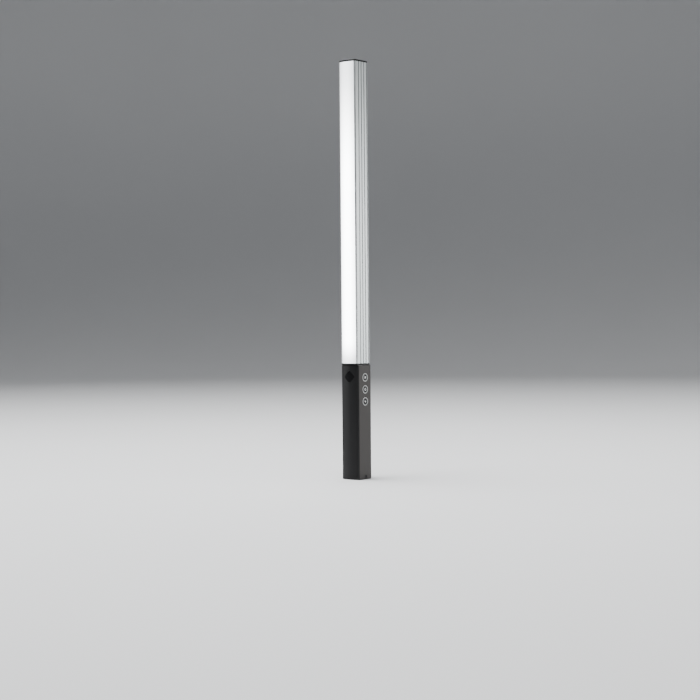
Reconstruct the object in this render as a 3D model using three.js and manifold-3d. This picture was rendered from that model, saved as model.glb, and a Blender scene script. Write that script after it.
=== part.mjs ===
// LED light tube: a fluted aluminium head that carries the light, on a black handle that holds the
// battery, the push buttons and the tripod socket. Millimetres. +Z runs up the tube, -Y is the side
// the light leaves by, +X is the side with the push buttons. The origin is the tripod socket's mouth.
import * as THREE from 'three';
import { mergeVertices } from 'three/addons/utils/BufferGeometryUtils.js';
import Module from 'manifold-3d';

const wasm = await Module();
wasm.setup();

// ---- driving dimensions -------------------------------------------------------------------------
const TUBE_LENGTH = 508;
const HANDLE_LENGTH = 139.2;
const COLLAR_THICKNESS = 2;
const CAP_THICKNESS = 2.2;
const EDGE_CHAMFER = 0.8;
const FIT_GAP = 0.15;

// Both housings share one kind of section: straight sides, a flat back and a front that bows out.
const HEAD = {
  halfWidth: 12.4,
  frontY: -12.6,
  bulge: 2.3,
  backY: 12.2,
  frontRadius: 0.8,
  backRadius: 2,
};
const HANDLE = {
  halfWidth: 13.15,
  frontY: -11.4,
  bulge: 2.2,
  backY: 13.6,
  frontRadius: 0.9,
  backRadius: 2.6,
};
const LIP_WIDTH = 2.1;

const HEAD_WALL = 1.8;
const FLUTE_WIDTH = 1.4;
const FLUTE_DEPTH = 0.6;
const FLUTE_PITCH = 5.2;
const FIRST_SIDE_FLUTE_Y = -6.3;

const LED_ROWS = 2;
const LEDS_PER_ROW = 24;
const LED_ROW_SPACING = 9.2;

const BUTTON_TOP_DROP = 15.2;
const BUTTON_PITCH = 14.6;
const BUTTON_NAMES = ['up', 'power', 'down'];
const BUTTON_TRAVEL = 0.5;

const WINDOW_DROP = 14.2;
const WINDOW_HALF_DIAGONAL = 8;
const WINDOW_CORNER_RADIUS = 2;

const CELL_RADIUS = 9.2;
const CELL_LENGTH = 65.2;
const CELL_AXIS_Y = 1;

const SOCKET_RADIUS = 3;
const SOCKET_DEPTH = 10;
const BASE_SCREW_HEIGHT = 3.6;

// ---- places that follow from them ---------------------------------------------------------------
const HEAD_BOTTOM = HANDLE_LENGTH + COLLAR_THICKNESS;
const HEAD_TOP = TUBE_LENGTH - CAP_THICKNESS;
const SIDE_CENTRE_Y = (HANDLE.frontY + HANDLE.backY) / 2;
const FULL_TURN = 2 * Math.PI;
const RIGHT_ANGLE = Math.PI / 2;

// ---- outlines, in the section plane -------------------------------------------------------------
function arc(centreX, centreY, radius, from, to, steps) {
  return Array.from({ length: steps + 1 }, (unused, step) => {
    const angle = from + ((to - from) * step) / steps;
    return new THREE.Vector2(centreX + radius * Math.cos(angle), centreY + radius * Math.sin(angle));
  });
}

function points(...pairs) {
  return pairs.map(([x, y]) => new THREE.Vector2(x, y));
}

function withoutRepeats(outline) {
  return outline.filter((point, index) => {
    const before = outline[(index + outline.length - 1) % outline.length];
    return point.distanceTo(before) > 1e-5;
  });
}

// Closes a right half, listed from the front centre line round to the back one, with its mirror.
function mirrored(rightHalf) {
  const leftHalf = rightHalf.map((point) => new THREE.Vector2(-point.x, point.y)).reverse();
  return withoutRepeats([...rightHalf, ...leftHalf]);
}

function roundedRectangle(halfX, halfY, radius, steps) {
  return withoutRepeats([
    ...arc(halfX - radius, -halfY + radius, radius, -RIGHT_ANGLE, 0, steps),
    ...arc(halfX - radius, halfY - radius, radius, 0, RIGHT_ANGLE, steps),
    ...arc(-halfX + radius, halfY - radius, radius, RIGHT_ANGLE, Math.PI, steps),
    ...arc(-halfX + radius, -halfY + radius, radius, Math.PI, 3 * RIGHT_ANGLE, steps),
  ]);
}

// The wide circle that a section's bowed front follows.
function bowOf(section) {
  const radius = (section.halfWidth ** 2 + section.bulge ** 2) / (2 * section.bulge);
  return { radius, centreY: section.frontY - section.bulge + radius };
}

function bowArc(section, depth, fromX, toX, steps) {
  const bow = bowOf(section);
  const radius = bow.radius - depth;
  const angleAt = (x) => -RIGHT_ANGLE + Math.asin(x / radius);
  return arc(0, bow.centreY, radius, angleAt(fromX), angleAt(toX), steps);
}

// One round-bottomed groove in a straight wall. The outline meets the wall at (x, y), and inward is
// the angle that points from the wall into the metal.
function flute(x, y, inward) {
  const radius = (FLUTE_WIDTH ** 2 / 4 + FLUTE_DEPTH ** 2) / (2 * FLUTE_DEPTH);
  const rise = radius - FLUTE_DEPTH;
  const halfAngle = Math.atan2(FLUTE_WIDTH / 2, rise);
  const centreX = x - rise * Math.cos(inward);
  const centreY = y - rise * Math.sin(inward);
  return arc(centreX, centreY, radius, inward + halfAngle, inward - halfAngle, 4);
}

// The outside of a section's right half, from a point of the bow at startX round to the back.
function outsideHalf(section, startX, fluted) {
  const { halfWidth, backY, frontRadius, backRadius } = section;
  const bow = bowOf(section);
  const cornerX = halfWidth - frontRadius;
  const cornerY = bow.centreY - Math.sqrt((bow.radius - frontRadius) ** 2 - cornerX ** 2);
  const cornerAngle = Math.atan2(cornerY - bow.centreY, cornerX);
  const startAngle = -RIGHT_ANGLE + Math.asin(startX / bow.radius);
  const bowSteps = Math.ceil((8 * (cornerX - startX)) / cornerX);
  const sideFlutes = [0, 1, 2, 3].flatMap((row) =>
    flute(halfWidth, FIRST_SIDE_FLUTE_Y + row * FLUTE_PITCH, Math.PI));
  const backFlutes = [1.5, 0.5].flatMap((row) => flute(row * FLUTE_PITCH, backY, -RIGHT_ANGLE));
  return [
    ...arc(0, bow.centreY, bow.radius, startAngle, cornerAngle, bowSteps),
    ...arc(cornerX, cornerY, frontRadius, cornerAngle, 0, 3),
    ...(fluted ? sideFlutes : []),
    ...arc(halfWidth - backRadius, backY - backRadius, backRadius, 0, RIGHT_ANGLE, 5),
    ...(fluted ? backFlutes : []),
  ];
}

function sectionOutline(section) {
  return mirrored(outsideHalf(section, 0, false));
}

// ---- solids -------------------------------------------------------------------------------------
function prism(outline, bottom, top, hole) {
  const shape = new THREE.Shape(outline);
  if (hole) shape.holes.push(new THREE.Path(hole));
  const geometry = new THREE.ExtrudeGeometry(shape, { depth: top - bottom, bevelEnabled: false });
  return geometry.translate(0, 0, bottom);
}

// A prism with its end edges chamfered. Between the chamfers its sides stand out by grow, so that
// it can trim the ends of another solid of the same outline and leave that one's sides alone.
function chamferedPrism(outline, bottom, top, chamfer, grow = 0) {
  const slope = chamfer + grow;
  const geometry = new THREE.ExtrudeGeometry(new THREE.Shape(outline), {
    depth: top - bottom - 2 * slope,
    bevelThickness: slope,
    bevelSize: slope,
    bevelOffset: -chamfer,
    bevelSegments: 1,
  });
  return geometry.translate(0, 0, bottom + slope);
}

function block(x0, x1, y0, y1, z0, z1) {
  const geometry = new THREE.BoxGeometry(x1 - x0, y1 - y0, z1 - z0);
  return geometry.translate((x0 + x1) / 2, (y0 + y1) / 2, (z0 + z1) / 2);
}

// Turns a profile of [radius, height] pairs about the Z axis.
function turned(profile, segments = 24) {
  const geometry = new THREE.LatheGeometry(points(...profile), segments);
  return geometry.rotateX(RIGHT_ANGLE);
}

function rod(radius, bottom, top, segments = 24) {
  return turned([[0, bottom], [radius, bottom], [radius, top], [0, top]], segments);
}

// Lays a solid that stands along +Z down along +X.
function alongX(geometry) {
  return geometry.rotateY(RIGHT_ANGLE);
}

// Lays a solid that stands along +Z down along +Y.
function alongY(geometry) {
  return geometry.rotateX(-RIGHT_ANGLE);
}

function toSolid(geometry) {
  const bare = new THREE.BufferGeometry();
  bare.setAttribute('position', geometry.attributes.position.clone());
  bare.setIndex(geometry.index);
  const merged = mergeVertices(bare, 1e-4);
  const triangles = [];
  for (let i = 0; i < merged.index.count; i += 3) {
    const corners = [0, 1, 2].map((step) => merged.index.getX(i + step));
    if (new Set(corners).size === 3) triangles.push(...corners);
  }
  return new wasm.Manifold(new wasm.Mesh({
    numProp: 3,
    vertProperties: new Float32Array(merged.attributes.position.array),
    triVerts: new Uint32Array(triangles),
  }));
}

function toGeometry(solid) {
  const mesh = solid.getMesh();
  const geometry = new THREE.BufferGeometry();
  geometry.setAttribute('position', new THREE.BufferAttribute(mesh.vertProperties.slice(), 3));
  geometry.setIndex(new THREE.BufferAttribute(mesh.triVerts.slice(), 1));
  geometry.computeVertexNormals();
  return geometry;
}

function combine(operation, first, others) {
  const start = toSolid(first);
  return toGeometry(others.map(toSolid).reduce((result, next) => result[operation](next), start));
}

const join = (first, ...others) => combine('add', first, others);
const cut = (first, ...others) => combine('subtract', first, others);
const shared = (first, ...others) => combine('intersect', first, others);

// ---- finishes -----------------------------------------------------------------------------------
function finish(color, roughness, metalness) {
  return new THREE.MeshStandardMaterial({ color, roughness, metalness });
}

const anodised = () => finish(0xb9bdbe, 0.38, 1);
const blackAnodised = () => finish(0x2c2b2a, 0.45, 0.6);
const blackPlastic = () => finish(0x1d1d1e, 0.5, 0);
const glossBlack = () => finish(0x0d0d0e, 0.12, 0);
const opal = () => finish(0xf4f8ff, 0.45, 0);
const boardGreen = () => finish(0x1f5a3a, 0.5, 0);
const boardWhite = () => finish(0xe9ebe6, 0.5, 0);
const steel = () => finish(0x8d8f92, 0.35, 1);
const blackScrew = () => finish(0x1b1b1c, 0.4, 0.8);
const brass = () => finish(0xb58b3f, 0.35, 1);
const nickel = () => finish(0xb7b4aa, 0.3, 1);
const cellWrap = () => finish(0x2f6f9e, 0.4, 0);
const lightTrim = () => finish(0xc9cccb, 0.35, 0.3);
const wire = (color) => finish(color, 0.6, 0);

const tube = new THREE.Group();

function place(name, geometry, material, parent = tube) {
  const mesh = new THREE.Mesh(geometry, material);
  mesh.name = name;
  parent.add(mesh);
  return mesh;
}

// ---- screws -------------------------------------------------------------------------------------
// A pan head above the origin, a plain shank below it and a cross recess in the head.
function screw(headRadius, headHeight, shankRadius, shankLength) {
  const blank = turned([
    [0, -shankLength],
    [shankRadius * 0.6, -shankLength],
    [shankRadius, -shankLength + shankRadius * 0.6],
    [shankRadius, 0],
    [headRadius, 0],
    [headRadius, headHeight * 0.6],
    [headRadius * 0.75, headHeight],
    [0, headHeight],
  ], 16);
  const reach = headRadius * 0.6;
  const slot = headRadius * 0.13;
  const floor = headHeight * 0.45;
  const recess = join(
    block(-reach, reach, -slot, slot, floor, headHeight + 1),
    block(-slot, slot, -reach, reach, floor, headHeight + 1),
  );
  return cut(blank, recess);
}

// ---- head: fluted aluminium extrusion -----------------------------------------------------------
// A box section, open at the front between two lips. Each side wall has a groove behind its lip for
// the diffuser's wing and a groove for the light board, which lies on a cross web. Behind the web is
// a hollow chamber with a split screw port on a neck at each side.
const HEAD_INNER = HEAD.halfWidth - HEAD_WALL;
const LIP_BACK_Y = -12;
const WING_GROOVE = { x: 11.5, frontY: LIP_BACK_Y, backY: LIP_BACK_Y + 1.3 };
const WING_LEDGE = { x: 9.8, backY: WING_GROOVE.backY + 1 };
const BOARD_GROOVE = { x: 11, frontY: -3.2, backY: -1.4 };
const WEB_THICKNESS = 1.6;
const CHAMBER_FRONT_Y = BOARD_GROOVE.backY + WEB_THICKNESS;
const CHAMBER_BACK_Y = HEAD.backY - HEAD_WALL;
const PORT = { x: 7.6, y: 5.5, radius: 2.3, bore: 1.25, slit: 0.6, neck: 0.8 };

// The chamber's right half. It runs up the wall to the port's neck, round the outside of the split
// ring, in through the slit, round the bore and back the same way.
function chamberHalf() {
  const cornerRadius = 1;
  const cornerX = HEAD_INNER - cornerRadius;
  const neckAngle = Math.asin(PORT.neck / PORT.radius);
  const slitAngle = Math.PI - Math.asin(PORT.slit / PORT.radius);
  const boreAngle = Math.PI - Math.asin(PORT.slit / PORT.bore);
  return [
    ...points([0, CHAMBER_FRONT_Y]),
    ...arc(cornerX, CHAMBER_FRONT_Y + cornerRadius, cornerRadius, -RIGHT_ANGLE, 0, 3),
    ...points([HEAD_INNER, PORT.y - PORT.neck]),
    ...arc(PORT.x, PORT.y, PORT.radius, -neckAngle, -slitAngle, 8),
    ...arc(PORT.x, PORT.y, PORT.bore, -boreAngle, boreAngle, 12),
    ...arc(PORT.x, PORT.y, PORT.radius, slitAngle, neckAngle, 8),
    ...points([HEAD_INNER, PORT.y + PORT.neck]),
    ...arc(cornerX, CHAMBER_BACK_Y - cornerRadius, cornerRadius, 0, RIGHT_ANGLE, 3),
    ...points([0, CHAMBER_BACK_Y]),
  ];
}

// The extrusion's right half: from the web's front face out through the two grooves to the lip,
// then round the outside to the back.
function extrusionHalf() {
  return [
    ...points(
      [0, BOARD_GROOVE.backY],
      [BOARD_GROOVE.x, BOARD_GROOVE.backY],
      [BOARD_GROOVE.x, BOARD_GROOVE.frontY],
      [HEAD_INNER, BOARD_GROOVE.frontY],
      [HEAD_INNER, WING_LEDGE.backY],
      [WING_LEDGE.x, WING_LEDGE.backY],
      [WING_LEDGE.x, WING_GROOVE.backY],
      [WING_GROOVE.x, WING_GROOVE.backY],
      [WING_GROOVE.x, WING_GROOVE.frontY],
      [HEAD.halfWidth - LIP_WIDTH, WING_GROOVE.frontY],
    ),
    ...outsideHalf(HEAD, HEAD.halfWidth - LIP_WIDTH, true),
  ];
}

function headExtrusion() {
  return prism(mirrored(extrusionHalf()), HEAD_BOTTOM, HEAD_TOP, mirrored(chamberHalf()));
}
place('head_extrusion', headExtrusion(), anodised());

// The diffuser is an extruded opal strip. Its face carries on the bow of the lips, and a wing along
// each edge slides into the groove behind the lip.
function slidingCover(section, mouth, thickness, wing, bottom, top) {
  const edge = mouth - 0.2;
  const inner = edge - 1.2;
  return prism(mirrored([
    ...bowArc(section, 0, 0, edge, 8),
    ...points(
      [edge, wing.frontY],
      [wing.x, wing.frontY],
      [wing.x, wing.backY],
      [inner, wing.backY],
    ),
    ...bowArc(section, thickness, 0, inner, 8).reverse(),
  ]), bottom, top);
}

const diffuserWing = {
  x: WING_GROOVE.x - 0.2,
  frontY: WING_GROOVE.frontY + FIT_GAP,
  backY: WING_GROOVE.backY - FIT_GAP,
};
place('diffuser', slidingCover(HEAD, HEAD.halfWidth - LIP_WIDTH, 1.5, diffuserWing,
  HEAD_BOTTOM + FIT_GAP, HEAD_TOP - FIT_GAP), opal());

// The light board: a long strip with its white light-emitting packages in two rows.
function ledBoard() {
  const boardHalfWidth = BOARD_GROOVE.x - 0.25;
  const frontY = BOARD_GROOVE.frontY + 0.1;
  const bottom = HEAD_BOTTOM + 4.3;
  const top = HEAD_TOP - 4.3;
  const strip = block(-boardHalfWidth, boardHalfWidth, frontY, BOARD_GROOVE.backY - 0.1, bottom, top);
  const pitch = (top - bottom) / LEDS_PER_ROW;
  const packages = [];
  for (let row = 0; row < LED_ROWS; row += 1) {
    const x = (row - (LED_ROWS - 1) / 2) * LED_ROW_SPACING;
    for (let index = 0; index < LEDS_PER_ROW; index += 1) {
      const z = bottom + (index + 0.5) * pitch;
      packages.push(block(x - 1.4, x + 1.4, frontY - 0.8, frontY + 0.3, z - 1.75, z + 1.75));
    }
  }
  return join(strip, ...packages);
}
place('led_board', ledBoard(), boardWhite());

// ---- end pieces of the head: top cap and joint collar -------------------------------------------
const TONGUE_DEPTH = 3;
const CHAMBER_TONGUE = { halfX: 5, y0: CHAMBER_FRONT_Y + 0.6, y1: CHAMBER_BACK_Y - 0.6 };
const CHANNEL_TONGUE = { halfX: 8.2, y0: -9.3, y1: -4.8 };

// Two tongues that locate an end piece inside the extrusion, in its chamber and its front channel.
function tongues(z0, z1) {
  return [CHAMBER_TONGUE, CHANNEL_TONGUE].map((tongue) =>
    block(-tongue.halfX, tongue.halfX, tongue.y0, tongue.y1, z0, z1));
}

function topCap() {
  const plate = chamferedPrism(sectionOutline(HEAD), HEAD_TOP, TUBE_LENGTH, 0.5);
  const body = join(plate, ...tongues(HEAD_TOP - TONGUE_DEPTH, HEAD_TOP + 1));
  const seats = [-1, 1].flatMap((side) => [
    rod(1.5, HEAD_TOP - 1, TUBE_LENGTH + 1).translate(side * PORT.x, PORT.y, 0),
    rod(2.3, TUBE_LENGTH - 1.2, TUBE_LENGTH + 1).translate(side * PORT.x, PORT.y, 0),
  ]);
  return cut(body, ...seats);
}
place('top_cap', topCap(), blackPlastic());

const SIDES = [['left', -1], ['right', 1]];
for (const [name, side] of SIDES) {
  const capScrew = place(`top_screw_${name}`, screw(2.1, 1, 1.05, 8), blackScrew());
  capScrew.position.set(side * PORT.x, PORT.y, TUBE_LENGTH - 1.1);
}

// The collar joins head and handle. Its flange shows as a thin line between them; below it a hollow
// square spigot plugs the handle, and the light board's lead passes through it.
const SPIGOT = { halfX: 10.8, frontY: -7.9, backY: 11.2, wall: 1.1, depth: 6 };
const BOARD_RIB = { x0: 6.2, x1: 9, height: 1.4, thickness: 0.6 };
const HANDLE_INNER = 11.15;
const HANDLE_BACK_INNER = 11.6;
const BACK_SCREW = { x: 4.2, z: HANDLE_LENGTH - 3 };

function jointCollar() {
  const flange = prism(sectionOutline(HEAD), HANDLE_LENGTH, HEAD_BOTTOM);
  const spigotBottom = HANDLE_LENGTH - SPIGOT.depth;
  const spigot = block(-SPIGOT.halfX, SPIGOT.halfX, SPIGOT.frontY, SPIGOT.backY,
    spigotBottom, HANDLE_LENGTH + 1);
  const body = join(flange, spigot, ...tongues(HANDLE_LENGTH + 1, HEAD_BOTTOM + TONGUE_DEPTH));
  const hollow = block(-SPIGOT.halfX + SPIGOT.wall, SPIGOT.halfX - SPIGOT.wall,
    SPIGOT.frontY + SPIGOT.wall, SPIGOT.backY - 2 * SPIGOT.wall, spigotBottom - 1, HANDLE_LENGTH);
  const leadHole = block(-3, 3, -7.4, -4.2, HANDLE_LENGTH - 1, HEAD_BOTTOM + TONGUE_DEPTH + 1);
  const portHoles = [-1, 1].map((side) =>
    rod(1.5, HANDLE_LENGTH - 1, HEAD_BOTTOM + 1).translate(side * PORT.x, PORT.y, 0));
  const ribSlots = [-1, 1].map((side) => {
    const from = Math.min(side * BOARD_RIB.x0, side * BOARD_RIB.x1);
    return block(from - 0.3, from + BOARD_RIB.x1 - BOARD_RIB.x0 + 0.3,
      HANDLE_BACK_INNER - BOARD_RIB.height - 0.3, HANDLE_BACK_INNER, spigotBottom - 1, HANDLE_LENGTH);
  });
  const backScrewHoles = [-1, 1].map((side) =>
    alongY(rod(1.3, 6, 14)).translate(side * BACK_SCREW.x, 0, BACK_SCREW.z));
  return cut(body, hollow, leadHole, ...portHoles, ...ribSlots, ...backScrewHoles);
}
place('joint_collar', jointCollar(), blackPlastic());

for (const [name, side] of SIDES) {
  const collarScrew = place(`collar_screw_${name}`, screw(1.9, 1.3, 1.05, 9), steel());
  collarScrew.position.set(side * PORT.x, PORT.y, HANDLE_LENGTH - FIT_GAP);
  collarScrew.rotation.x = Math.PI;
}

// ---- handle: black channel with a sliding front cover -------------------------------------------
const HANDLE_MOUTH = HANDLE.halfWidth - LIP_WIDTH;
const COVER_GROOVE = { x: 12.25, frontY: -10.7, backY: -9.5 };
const COVER_LEDGE = { x: 10.4, backY: -8.5 };
const buttonHeights = BUTTON_NAMES.map((name, index) =>
  HANDLE_LENGTH - BUTTON_TOP_DROP - index * BUTTON_PITCH);
const RING = { outer: 5, inner: 4.15, seat: 0.7, proud: 0.15 };
const CHARGING_PORT = { x: 5.3, z: 101.5, halfX: 1.6, halfZ: 4.5, depth: 7.4, radius: 1.2 };

// Trims a handle part to length and chamfers its outer edge at both ends.
function trimmed(part) {
  return shared(part, chamferedPrism(sectionOutline(HANDLE), 0, HANDLE_LENGTH, EDGE_CHAMFER, 0.5));
}

// The channel's right half: from the back wall's inside past a pair of guide ribs to the groove
// behind the lip, then round the outside to the back.
function channelHalf() {
  const cornerRadius = 1;
  const ribTipY = HANDLE_BACK_INNER - BOARD_RIB.height;
  const innerX = BOARD_RIB.x0 + BOARD_RIB.thickness;
  const outerX = BOARD_RIB.x1 - BOARD_RIB.thickness;
  return [
    ...points(
      [0, HANDLE_BACK_INNER],
      [BOARD_RIB.x0, HANDLE_BACK_INNER],
      [BOARD_RIB.x0, ribTipY],
      [innerX, ribTipY],
      [innerX, HANDLE_BACK_INNER],
      [outerX, HANDLE_BACK_INNER],
      [outerX, ribTipY],
      [BOARD_RIB.x1, ribTipY],
      [BOARD_RIB.x1, HANDLE_BACK_INNER],
    ),
    ...arc(
      HANDLE_INNER - cornerRadius,
      HANDLE_BACK_INNER - cornerRadius,
      cornerRadius,
      RIGHT_ANGLE,
      0,
      3,
    ),
    ...points(
      [HANDLE_INNER, COVER_LEDGE.backY],
      [COVER_LEDGE.x, COVER_LEDGE.backY],
      [COVER_LEDGE.x, COVER_GROOVE.backY],
      [COVER_GROOVE.x, COVER_GROOVE.backY],
      [COVER_GROOVE.x, COVER_GROOVE.frontY],
      [HANDLE_MOUTH, COVER_GROOVE.frontY],
    ),
    ...outsideHalf(HANDLE, HANDLE_MOUTH, false),
  ];
}

// A stadium-ended slot seen from the back, long in Z.
function slotOutline(halfX, halfZ, radius) {
  return roundedRectangle(halfX, halfZ, radius, 4);
}

function handleBody() {
  const past = 1;
  const outside = HANDLE.halfWidth + past;
  const buttonHoles = buttonHeights.flatMap((z) => {
    const hole = alongX(rod(RING.inner, HANDLE_INNER - past, outside, 32));
    const seat = alongX(rod(RING.outer + 0.1, HANDLE.halfWidth - RING.seat, outside, 32));
    return [hole, seat].map((cutter) => cutter.translate(0, SIDE_CENTRE_Y, z));
  });
  const baseScrewHoles = [0, Math.PI].flatMap((turn) => [
    alongX(rod(1.4, HANDLE_INNER - past, outside)),
    alongX(rod(2.15, HANDLE.halfWidth - 1.2, outside)),
  ].map((hole) => hole.rotateZ(turn).translate(0, SIDE_CENTRE_Y, BASE_SCREW_HEIGHT)));
  const backScrewHoles = [-1, 1].flatMap((side) => [
    alongY(rod(1.4, HANDLE_BACK_INNER - past, HANDLE.backY + past)),
    alongY(rod(2.15, HANDLE.backY - 1.2, HANDLE.backY + past)),
  ].map((hole) => hole.translate(side * BACK_SCREW.x, 0, BACK_SCREW.z)));
  const portGap = 0.3;
  const portSlot = prism(slotOutline(CHARGING_PORT.halfX + portGap, CHARGING_PORT.halfZ + portGap,
    CHARGING_PORT.radius + portGap), HANDLE_BACK_INNER - BOARD_RIB.height - 0.3, HANDLE.backY + past);
  alongY(portSlot).translate(CHARGING_PORT.x, 0, CHARGING_PORT.z);
  return cut(
    trimmed(prism(mirrored(channelHalf()), -past, HANDLE_LENGTH + past)),
    ...buttonHoles,
    ...baseScrewHoles,
    ...backScrewHoles,
    portSlot,
  );
}
place('handle_body', handleBody(), blackAnodised());

// The cover slides up the grooves like the diffuser. A rounded diamond opening near its top holds
// the dark window of the remote-control receiver.
const COVER_THICKNESS = 1.8;
const WINDOW_Z = HANDLE_LENGTH - WINDOW_DROP;
const RECEIVER_POSTS = [[-5.4, 5.8], [5.4, -5.8]];
const RECEIVER_BOARD = { halfX: 6.4, halfZ: 8, frontY: -7.2, thickness: 1 };

// A square standing on one corner, drawn in X and Z, with every corner rounded.
function diamondOutline(halfDiagonal, cornerRadius) {
  const centre = halfDiagonal - cornerRadius * Math.SQRT2;
  const halfCorner = Math.PI / 4;
  return [0, 1, 2, 3].flatMap((corner) => {
    const direction = corner * RIGHT_ANGLE;
    return arc(centre * Math.cos(direction), centre * Math.sin(direction), cornerRadius,
      direction - halfCorner, direction + halfCorner, 4);
  });
}

function diamondPrism(halfDiagonal) {
  const outline = diamondOutline(halfDiagonal, WINDOW_CORNER_RADIUS);
  return alongY(prism(outline, -30, 30)).translate(0, 0, WINDOW_Z);
}

// The part of the handle's wall that lies between two depths under its bowed front.
function bowedPlate(outerDepth, innerDepth, halfX, bottom, top) {
  return prism(mirrored([
    ...bowArc(HANDLE, outerDepth, 0, halfX, 6),
    ...bowArc(HANDLE, innerDepth, 0, halfX, 6).reverse(),
  ]), bottom, top);
}

const coverWing = {
  x: COVER_GROOVE.x - 0.2,
  frontY: COVER_GROOVE.frontY + FIT_GAP,
  backY: COVER_GROOVE.backY - FIT_GAP,
};

function handleFront() {
  const profile = slidingCover(HANDLE, HANDLE_MOUTH, COVER_THICKNESS, coverWing, -1, HANDLE_LENGTH + 1);
  const posts = RECEIVER_POSTS.map(([x, z]) =>
    alongY(rod(1.1, -12, RECEIVER_BOARD.frontY - 0.1, 12)).translate(x, 0, WINDOW_Z + z));
  return cut(join(trimmed(profile), ...posts), diamondPrism(WINDOW_HALF_DIAGONAL + FIT_GAP));
}
place('handle_front', handleFront(), blackPlastic());

function sensorWindow() {
  const flangeDepth = COVER_THICKNESS + 0.1;
  const backDepth = flangeDepth + 0.8;
  const reach = WINDOW_HALF_DIAGONAL + 2;
  const low = WINDOW_Z - reach;
  const high = WINDOW_Z + reach;
  return join(
    shared(bowedPlate(0.15, backDepth - 0.3, 9.2, low, high), diamondPrism(WINDOW_HALF_DIAGONAL)),
    shared(bowedPlate(flangeDepth, backDepth, 9.2, low, high), diamondPrism(WINDOW_HALF_DIAGONAL + 1)),
  );
}
place('sensor_window', sensorWindow(), glossBlack());

// The receiver board stands behind the window on two posts of the cover and carries a domed receiver.
function receiverBoard() {
  const { halfX, halfZ, frontY, thickness } = RECEIVER_BOARD;
  const board = block(-halfX, halfX, frontY, frontY + thickness, WINDOW_Z - halfZ, WINDOW_Z + halfZ);
  const receiverBody = block(-3, 3, frontY - 1.8, frontY + 0.5, WINDOW_Z - 2.8, WINDOW_Z + 2.8);
  const dome = turned([[0, 0], [1.9, 0], [1.9, 0.6], [1.5, 1.3], [0.8, 1.7], [0, 1.8]], 16);
  dome.rotateX(RIGHT_ANGLE).translate(0, frontY - 1.3, WINDOW_Z);
  return join(board, receiverBody, dome);
}
place('receiver_board', receiverBoard(), boardGreen());

// ---- push buttons -------------------------------------------------------------------------------
// Each key is a round cap with a retaining flange behind the wall. It slides inwards along -X on to
// the plunger of its switch, inside a light trim ring that is pressed into the wall.
const KEY = { radius: 3.95, flangeRadius: 4.8, top: 13.45, flangeOuter: 10.9, flangeInner: 10.3 };

function buttonKey() {
  return alongX(turned([
    [0, KEY.flangeInner],
    [KEY.flangeRadius, KEY.flangeInner],
    [KEY.flangeRadius, KEY.flangeOuter],
    [KEY.radius, KEY.flangeOuter],
    [KEY.radius, KEY.top - 0.35],
    [KEY.radius - 0.12, KEY.top - 0.1],
    [KEY.radius - 0.4, KEY.top],
    [KEY.radius - 1.1, KEY.top - 0.02],
    [1.4, KEY.top - 0.14],
    [0, KEY.top - 0.18],
  ], 32));
}

function trimRing() {
  const bottom = HANDLE.halfWidth - RING.seat + 0.05;
  const top = HANDLE.halfWidth + RING.proud;
  const edge = 0.15;
  return alongX(turned([
    [RING.inner, bottom],
    [RING.outer, bottom],
    [RING.outer, top - edge],
    [RING.outer - edge, top],
    [RING.inner + edge, top],
    [RING.inner, top - edge],
    [RING.inner, bottom],
  ], 32));
}

BUTTON_NAMES.forEach((name, index) => {
  const seat = new THREE.Group();
  seat.position.set(0, SIDE_CENTRE_Y, buttonHeights[index]);
  tube.add(seat);
  place(`button_${name}`, buttonKey(), blackPlastic(), seat);
  place(`button_ring_${name}`, trimRing(), lightTrim(), seat);
});

// ---- control board and charging port ------------------------------------------------------------
const CONTROL_BOARD = { x0: 7, x1: 8.2, y0: -8.6, y1: 11.2, z0: 87.5, z1: 132.5 };
const PLUNGER_TOP = KEY.flangeInner - BUTTON_TRAVEL - 0.1;

function controlBoard() {
  const { x0, x1, y0, y1, z0, z1 } = CONTROL_BOARD;
  const sunk = 0.4;
  const switches = buttonHeights.flatMap((z) => [
    block(x1 - sunk, x1 + 1.1, SIDE_CENTRE_Y - 2.3, SIDE_CENTRE_Y + 2.3, z - 2.3, z + 2.3),
    alongX(rod(1.5, x1 + 0.5, PLUNGER_TOP, 12)).translate(0, SIDE_CENTRE_Y, z),
  ]);
  const controller = block(x0 - 1, x0 + sunk, -3.5, 3.5, 106, 113);
  const inductor = block(x0 - 2.8, x0 + sunk, -6.5, -1.5, 96, 101);
  const batterySocket = block(x0 - 3.6, x0 + sunk, -6.5, -1, 88.5, 92.5);
  const ledSocket = block(x0 - 3.6, x0 + sunk, 2, 7, 126.5, 131);
  const board = block(x0, x1, y0, y1, z0, z1);
  return join(board, ...switches, controller, inductor, batterySocket, ledSocket);
}
place('control_board', controlBoard(), boardGreen());

const CHARGING_PORT_RECESS = 0.5;

function chargingPort() {
  const { halfX, halfZ, depth, radius } = CHARGING_PORT;
  const wall = 0.3;
  const backPlate = 0.8;
  const shell = prism(slotOutline(halfX, halfZ, radius), 0, depth);
  const hollow = prism(slotOutline(halfX - wall, halfZ - wall, radius - wall), backPlate, depth + 1);
  const blade = block(-0.35, 0.35, -3.3, 3.3, backPlate / 2, depth - 1.2);
  return alongY(join(cut(shell, hollow), blade));
}
const chargingPortMesh = place('charging_port', chargingPort(), steel());
const portMouthY = HANDLE.backY - CHARGING_PORT_RECESS;
chargingPortMesh.position.set(CHARGING_PORT.x, portMouthY - CHARGING_PORT.depth, CHARGING_PORT.z);

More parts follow.
